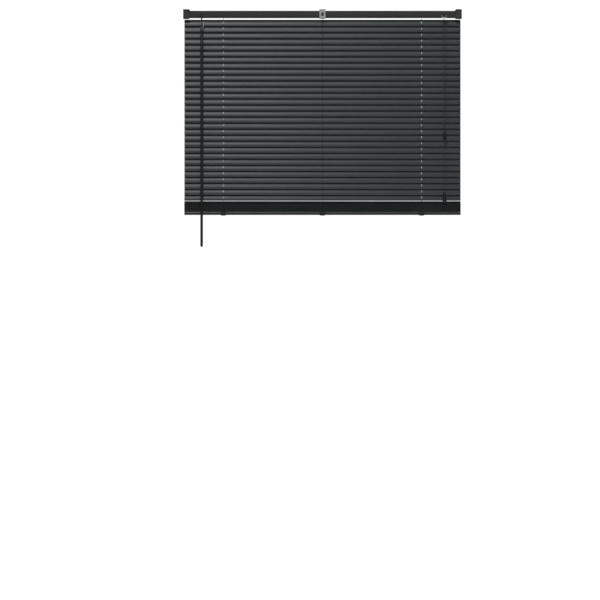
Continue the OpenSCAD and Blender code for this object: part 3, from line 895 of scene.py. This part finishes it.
@dataclass
class Slats:
    """The hanging slats with the ladder rungs that carry them, and the stack on the bottom rail."""

    paint: Paint
    rows: int = 12
    rout: tuple[float, float] = (0.003, 0.0082)
    rout_corner: float = 0.0008
    rout_margin: float = 0.002
    end_corner: float = 0.0022
    rung_diameter: float = 0.00036
    rung_spread: float = 0.0011
    rung_pinch: float = 0.0003
    rung_clearance: float = 0.00001
    stack_low: float = -0.725
    stack_pitch: float = 0.00053
    stack_count: int = 62
    stack_loose: float = 0.0032
    stack_rows: int = 8
    stack_shift: tuple[float, float] = (0.0004, 0.00012)
    seed: int = 5

    @property
    def arc(self) -> float:
        """The radius of the crown."""
        return (LAYOUT.slat_width**2 / 4 + LAYOUT.slat_crown**2) / (2 * LAYOUT.slat_crown)

    @property
    def half_girth(self) -> float:
        """Half the strip's width before it is crowned."""
        return self.arc * math.asin(LAYOUT.slat_width / 2 / self.arc)

    def rout_hole(self, bm: BMesh, x: float) -> None:
        """Punches one rout hole, a slot with round corners, through a flat strip."""
        half_x, half_y = self.rout[0] / 2, self.rout[1] / 2
        wide = half_x + self.rout_margin
        for station in (-half_x - self.rout_margin, -half_x, half_x, wide):
            slice_at(bm, (x + station, 0, 0), (1, 0, 0))
        for station in (-half_y, half_y):
            slice_at(bm, (x, station, 0), (0, 1, 0), lambda c: abs(c.x - x) < wide)
        corner = Vector((half_x - self.rout_corner, half_y - self.rout_corner, 0))
        planes = []
        for sx in (-1, 1):
            for sy in (-1, 1):
                for turn in (22.5, 45.0, 67.5):
                    way = Vector((sx * math.cos(math.radians(turn)), sy * math.sin(math.radians(turn)), 0))
                    middle = Vector((x + sx * corner.x, sy * corner.y, 0))
                    planes.append((middle + way * self.rout_corner, way))

        def in_slot(c: Vector) -> bool:
            """Whether a point is in the slot's bounding rectangle."""
            return abs(c.x - x) < half_x and abs(c.y) < half_y

        for point, way in planes:
            slice_at(bm, point, way, in_slot)
        gone = [f for f in bm.faces if in_slot(f.calc_center_median())
                and all((f.calc_center_median() - point).dot(way) < 0 for point, way in planes)]
        bmesh.ops.delete(bm, geom=gone, context="FACES")

    def strip(self, rows: int, routed: bool) -> BMesh:
        """A crowned strip that lies flat with its middle on the X axis.

        Args:
            rows: The faces across it.
            routed: True to punch its rout holes and round its corners.

        Returns:
            The mesh; its second material is bare cut metal.
        """
        bm = bmesh.new()
        bmesh.ops.create_grid(bm, x_segments=1, y_segments=rows, size=0.5)
        bmesh.ops.scale(bm, vec=(LAYOUT.slat_length, 2 * self.half_girth, 1), verts=bm.verts[:])
        if routed:
            for x in (-LAYOUT.ladder_x, LAYOUT.ladder_x):
                self.rout_hole(bm, x)
            corners = [v for v in bm.verts if abs(abs(v.co.x) - LAYOUT.slat_length / 2) < WELD
                       and abs(abs(v.co.y) - self.half_girth) < WELD]
            round_off(bm, corners, self.end_corner / 2, 3, "VERTICES")
        bmesh.ops.solidify(bm, geom=bm.faces[:], thickness=LAYOUT.slat_thickness)
        bmesh.ops.translate(bm, verts=bm.verts[:], vec=(0, 0, LAYOUT.slat_thickness / 2))
        bmesh.ops.recalc_face_normals(bm, faces=bm.faces[:])
        for face in bm.faces:
            rim = abs(face.normal.z) < 0.5
            slit = abs(abs(face.calc_center_median().y) - self.half_girth) < 0.0002
            face.material_index = 1 if rim and not slit else 0
        self.crown(bm)
        return bm

    def crown(self, bm: BMesh) -> None:
        """Bends a flat strip over its crown's radius."""
        for vert in bm.verts:
            turn = vert.co.y / self.arc
            radius = self.arc + vert.co.z
            vert.co.y = radius * math.sin(turn)
            vert.co.z = radius * math.cos(turn) - self.arc + LAYOUT.slat_crown / 2

    def rungs(self, number: int) -> None:
        """Builds the rungs under one slat, two at each ladder, from the front string to the rear one."""
        radius = self.arc - LAYOUT.slat_thickness / 2 - self.rung_diameter / 2 - self.rung_clearance
        half_turn = math.asin(LAYOUT.slat_width / 2 / self.arc)
        turns = [half_turn * k / 4 for k in range(-4, 5)]
        bm = bmesh.new()
        for x in LAYOUT.ladders:
            for side in (-1, 1):
                near, far = x + side * self.rung_pinch, x + side * self.rung_spread
                arch = [Vector((far, radius * math.sin(a),
                                radius * math.cos(a) - self.arc + LAYOUT.slat_crown / 2)) for a in turns]
                sweep(bm, [Vector((near, -LAYOUT.reach, 0)), *arch, Vector((near, LAYOUT.reach, 0))],
                      self.rung_diameter, 5)
        self.hang(bm, number)
        make_piece(f"rungs_{number:02d}", bm, f"slat_{number:02d}", [self.paint.string])

    @staticmethod
    def hang(bm: BMesh, number: int) -> None:
        """Moves what lies flat at the origin to a hanging slat's place and tilt."""
        turned = Matrix.Rotation(LAYOUT.closed_angle, 4, "X")
        place = Matrix.Translation((0, 0, LAYOUT.slat_z(number)))
        bmesh.ops.transform(bm, matrix=place @ turned, verts=bm.verts[:])

    def hanging(self) -> None:
        """Builds the hanging slats and their rungs."""
        master = self.strip(self.rows, True)
        for number in range(1, LAYOUT.hanging + 1):
            bm = master.copy()
            self.hang(bm, number)
            node = f"slat_{number:02d}"
            make_piece(f"blade_{number:02d}", bm, node, [self.paint.slat, self.paint.bare], [node])
            self.rungs(number)
        master.free()

    def stack(self) -> None:
        """Builds the stack, whose slats lie a hair unevenly on one another."""
        draw = random.Random(self.seed)
        plain, routed = self.strip(self.stack_rows, False), self.strip(self.rows, True)
        bm = bmesh.new()
        for k in range(self.stack_count):
            layer = (routed if k == self.stack_count - 1 else plain).copy()
            rise = k / (self.stack_count - 1)
            height = self.stack_low + k * self.stack_pitch + self.stack_loose * rise ** 12
            shift = (*(draw.uniform(-most, most) for most in self.stack_shift), height)
            bmesh.ops.translate(layer, verts=layer.verts[:], vec=shift)
            mesh = bpy.data.meshes.new("layer")
            layer.to_mesh(mesh)
            layer.free()
            bm.from_mesh(mesh)
            bpy.data.meshes.remove(mesh)
        plain.free()
        routed.free()
        make_piece("stack_of_slats", bm, "lift", [self.paint.slat, self.paint.bare],
                   ["stacked_slats"])

    def build(self) -> None:
        """Builds all the slats."""
        self.hanging()
        self.stack()


@dataclass
class HeadRail:
    """The head rail's channel, rolled from thin sheet, with its slots and windows."""

    paint: Paint
    half_length: float = 0.488
    half_depth: float = 0.0125
    lip: float = 0.0024
    corner: float = 0.004
    sheet: float = 0.0006
    lip_corner: float = 0.0009
    ladder_slot: float = 0.0085
    windows: tuple[tuple[Point, Point], ...] = (
        ((-0.4386, -0.02, -0.0316), (-0.4286, -0.0045, -0.0176)),
        ((0.4263, -0.02, -0.0316), (0.4463, -0.0074, -0.0226)))

    def build(self) -> None:
        """Builds the channel."""
        d, top, low = self.half_depth, LAYOUT.head_top, LAYOUT.head_low
        outline = [(-d + self.lip, top), (-d, top), (-d, low), (d, low), (d, top), (d - self.lip, top)]
        bm = bmesh.new()
        draw_out(bm, outline, -self.half_length, self.half_length, closed=False)
        bmesh.ops.recalc_face_normals(bm, faces=bm.faces[:])
        floor = max(bm.faces, key=lambda f: f.calc_area() - 10 * abs(f.calc_center_median().z - low))
        if floor.normal.z > 0:
            bmesh.ops.reverse_faces(bm, faces=bm.faces[:])
        for height, width, steps in ((low, self.corner, 7), (top, self.lip_corner, 3)):
            edges = [e for e in bm.edges
                     if edge_angle(e) > FOLD and all(abs(v.co.z - height) < WELD for v in e.verts)]
            round_off(bm, edges, width, steps)
        half = self.ladder_slot
        for x in LAYOUT.ladders:
            cut_window(bm, (x - half, -half, low - 0.001), (x + half, half, low + 0.001))
        for lowest, highest in self.windows:
            cut_window(bm, lowest, highest)
        bmesh.ops.solidify(bm, geom=bm.faces[:], thickness=self.sheet)
        make_piece("head_rail_channel", bm, "frame", [self.paint.steel], ["headrail"], sharp=25.0)


@dataclass
class BoxBrackets:
    """The two end brackets and their hinged doors."""

    paint: Paint
    rounding: float = 0.00035
    panel_margin: float = 0.0024
    panel_depth: float = 0.0003

    def build(self) -> None:
        """Builds the boxes and the doors."""
        boxes = cad_copy("end_brackets")
        soften(boxes, self.rounding)
        make_piece("bracket_boxes", boxes, "frame", [self.paint.bracket], ["end_brackets"])
        for name in ("left", "right"):
            door = cad_copy(f"bracket_door_{name}")
            face = max((f for f in door.faces if f.normal.y < -0.99), key=lambda f: f.calc_area())
            bmesh.ops.inset_region(door, faces=[face], thickness=self.panel_margin, depth=-self.panel_depth,
                                   use_even_offset=True)
            face.material_index = 1
            soften(door, self.rounding, 40.0)
            make_piece(f"bracket_lid_{name}", door, f"door_{name}",
                       [self.paint.bracket, self.paint.door], [f"bracket_door_{name}"])


@dataclass
class Fittings:
    """Moulded and pressed parts whose CAD shape is whole and only needs its edges rounded."""

    paint: Paint

    @staticmethod
    def fitting(node: str, body: str, slot: Slot, material: Material, rounding: float) -> None:
        """Builds one part from its CAD node.

        Args:
            node: The CAD node.
            body: The body that it rides on.
            slot: Its material slot; it is not used.
            material: Its finish.
            rounding: The width of its rounded edges, or 0 to leave them as they are.
        """
        bm = cad_copy(node)
        if rounding:
            soften(bm, rounding)
        make_piece(f"{node}_part", bm, body, [material], [node])

    def build(self) -> None:
        """Builds the fittings."""
        p = self.paint
        self.fitting("centre_bracket", "frame", Slot.CENTRE, p.centre, 0.0003)
        self.fitting("drum_cradles", "frame", Slot.PALE, p.pale, 0.00015)
        self.fitting("tilter_housing", "frame", Slot.BRACKET, p.bracket, 0.0002)
        self.fitting("cord_lock", "frame", Slot.PALE, p.pale, 0.0002)
        self.fitting("cord_lock_pulley", "lock_pulley", Slot.ZINC, p.zinc, 0.0001)
        self.fitting("tilt_rod", "tilt_shaft", Slot.ZINC, p.zinc, 0.0003)
        self.fitting("ladder_drums", "tilt_shaft", Slot.PALE, p.pale, 0.0002)
        self.fitting("tilter_gear", "tilt_shaft", Slot.PALE, p.pale, 0.0001)
        self.fitting("tilter_worm", "worm", Slot.PALE, p.dark, 0.0)
        self.fitting("wand_hook", "hook", Slot.PALE, p.clear, 0.0)
        self.fitting("rail_clips", "lift", Slot.DARK, p.dark, 0.0003)
        self.fitting("rail_end_caps", "lift", Slot.DARK, p.dark, 0.0003)
        self.fitting("tilt_wand", "wand", Slot.WAND, p.wand, 0.0)


@dataclass
class BottomRail:
    """The bottom rail, a closed tube with rounded corners."""

    paint: Paint
    half_length: float = 0.494
    corner: float = 0.004
    sheet: float = 0.0006

    def build(self) -> None:
        """Builds the tube."""
        half, top = LAYOUT.rail_depth / 2, LAYOUT.rail_top
        low = top - LAYOUT.rail_height
        bm = bmesh.new()
        outline = [(-half, low), (half, low), (half, top), (-half, top)]
        draw_out(bm, outline, -self.half_length, self.half_length, closed=True)
        bmesh.ops.recalc_face_normals(bm, faces=bm.faces[:])
        if max(bm.faces, key=lambda f: f.calc_center_median().z).normal.z < 0:
            bmesh.ops.reverse_faces(bm, faces=bm.faces[:])
        round_off(bm, [e for e in bm.edges if edge_angle(e) > FOLD], self.corner, 6)
        bmesh.ops.solidify(bm, geom=bm.faces[:], thickness=self.sheet)
        make_piece("bottom_rail_tube", bm, "lift", [self.paint.foot], ["bottom_rail"], sharp=25.0)


# ---------------------------------------------------------------- studio


@dataclass(frozen=True)
class Softbox:
    """A soft light that faces the blind's middle.

    azimuth is its direction from the room side, in degrees, with the blind's left negative, and elevation its
    height above the horizontal. reach is its distance from the blind's middle, size its width and height, and
    power is in watts.
    """

    name: str
    azimuth: float
    elevation: float
    reach: float
    size: tuple[float, float]
    power: float


@dataclass
class Studio:
    """The camera, the pale floor, the white surroundings and the soft lights."""

    width: float = 2.1558
    distance: float = 12.0
    sensor: float = 36.0
    look_at: Point = (-0.0807, 0.0, -1.0438)
    middle: Point = (0.0, 0.0, -0.38)
    floor_z: float = -2.25
    floor_half_width: float = 6.0
    floor_reach: float = 2.0
    floor_back: float = 1.2
    wash_width: float = 8.0
    wash_height: float = 0.8
    wash_power: float = 80.0
    world_seen: float = 1.05
    world_lit: float = 0.10
    softboxes: tuple[Softbox, ...] = (
        Softbox("key", -12.0, 45.0, 5.0, (0.6, 0.6), 35.0),
        Softbox("low_strip", 8.0, 16.0, 3.5, (3.2, 0.2), 12.5),
        Softbox("high_strip", -25.0, 64.0, 2.2, (2.6, 0.4), 8.0),
        Softbox("rear_fill", 165.0, 30.0, 4.0, (2.0, 1.5), 70.0))

    def camera(self) -> None:
        """Sets a long lens square to the blind."""
        data = bpy.data.cameras.new("camera")
        data.sensor_width = self.sensor
        data.lens = self.sensor * self.distance / self.width
        data.clip_start, data.clip_end = 0.1, 60.0
        camera = bpy.data.objects.new("camera", data)
        camera.location = (self.look_at[0], self.look_at[1] - self.distance, self.look_at[2])
        camera.rotation_euler = (math.radians(90), 0, 0)
        bpy.context.scene.collection.objects.link(camera)
        bpy.context.scene.camera = camera

    def floor(self) -> None:
        """Lays a pale floor well below the blind."""
        bm = bmesh.new()
        bmesh.ops.create_grid(bm, x_segments=4, y_segments=4, size=1.0)
        bmesh.ops.scale(bm, vec=(self.floor_half_width, self.floor_reach, 1.0), verts=bm.verts[:])
        bmesh.ops.translate(bm, verts=bm.verts[:],
                            vec=(0, self.floor_back - self.floor_reach, self.floor_z))
        mesh = bpy.data.meshes.new("floor")
        bm.to_mesh(mesh)
        bm.free()
        made = Recipe("floor_paint", 0.8, (0.8, 0.8, 0.8))
        made.colour(made.noise(made.place(), 2.0), (0.78, 0.78, 0.78), (0.82, 0.82, 0.82))
        mesh.materials.append(made.material)
        floor = bpy.data.objects.new("floor", mesh)
        bpy.context.scene.collection.objects.link(floor)

    def surroundings(self) -> None:
        """Makes the world: white where it is seen, and dimmer as a light."""
        world = bpy.data.worlds.new("surroundings")
        world.use_nodes = True
        tree = world.node_tree
        background = tree.nodes["Background"]
        background.inputs["Color"].default_value = (1, 1, 1, 1)
        path = tree.nodes.new("ShaderNodeLightPath")
        span = tree.nodes.new("ShaderNodeMapRange")
        span.inputs["To Min"].default_value = self.world_lit
        span.inputs["To Max"].default_value = self.world_seen
        tree.links.new(path.outputs["Is Camera Ray"], span.inputs["Value"])
        tree.links.new(span.outputs["Result"], background.inputs["Strength"])
        bpy.context.scene.world = world

    @staticmethod
    def panel(name: str, size: tuple[float, float], power: float, at: Vector) -> Object:
        """Hangs one rectangular area light, which faces down until it is turned.

        Args:
            name: The light's name.
            size: Its width and height.
            power: Its power in watts.
            at: Its place.

        Returns:
            The light's object.
        """
        data = bpy.data.lights.new(name, "AREA")
        data.shape = "RECTANGLE"
        data.size, data.size_y = size
        data.energy = power
        light = bpy.data.objects.new(name, data)
        light.location = at
        bpy.context.scene.collection.objects.link(light)
        return light

    def hang(self, box: Softbox) -> None:
        """Hangs a softbox and turns it to the blind's middle."""
        turn, rise = math.radians(box.azimuth), math.radians(box.elevation)
        way = Vector((math.sin(turn) * math.cos(rise), -math.cos(turn) * math.cos(rise), math.sin(rise)))
        light = self.panel(box.name, box.size, box.power, Vector(self.middle) + way * box.reach)
        light.rotation_euler = (-way).to_track_quat("-Z", "Y").to_euler()

    def floor_wash(self) -> None:
        """Lights the floor alone, from a wide panel under the blind that faces down."""
        at = Vector((0.0, self.floor_back - self.floor_reach, self.floor_z + self.wash_height))
        light = self.panel("floor_wash", (self.wash_width, 2 * self.floor_reach), self.wash_power, at)
        light.visible_camera = False
        light.visible_glossy = False

    def build(self) -> None:
        """Builds the whole studio."""
        bpy.context.scene.view_settings.view_transform = "Standard"
        self.camera()
        self.floor()
        self.surroundings()
        for box in self.softboxes:
            self.hang(box)
        self.floor_wash()


def main() -> None:
    """Builds the studio and every sub-assembly in order."""
    logging.basicConfig(level=logging.INFO, format="%(name)s: %(message)s")
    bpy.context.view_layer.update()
    Studio().build()
    paint = Paint()
    for assembly in (PullCords(paint), LiftCords(paint), Ladders(paint), Slats(paint), HeadRail(paint),
                     BoxBrackets(paint), Fittings(paint), BottomRail(paint)):
        assembly.build()
        LOG.info("built %s", type(assembly).__name__)


if __name__ == "__main__":
    main()
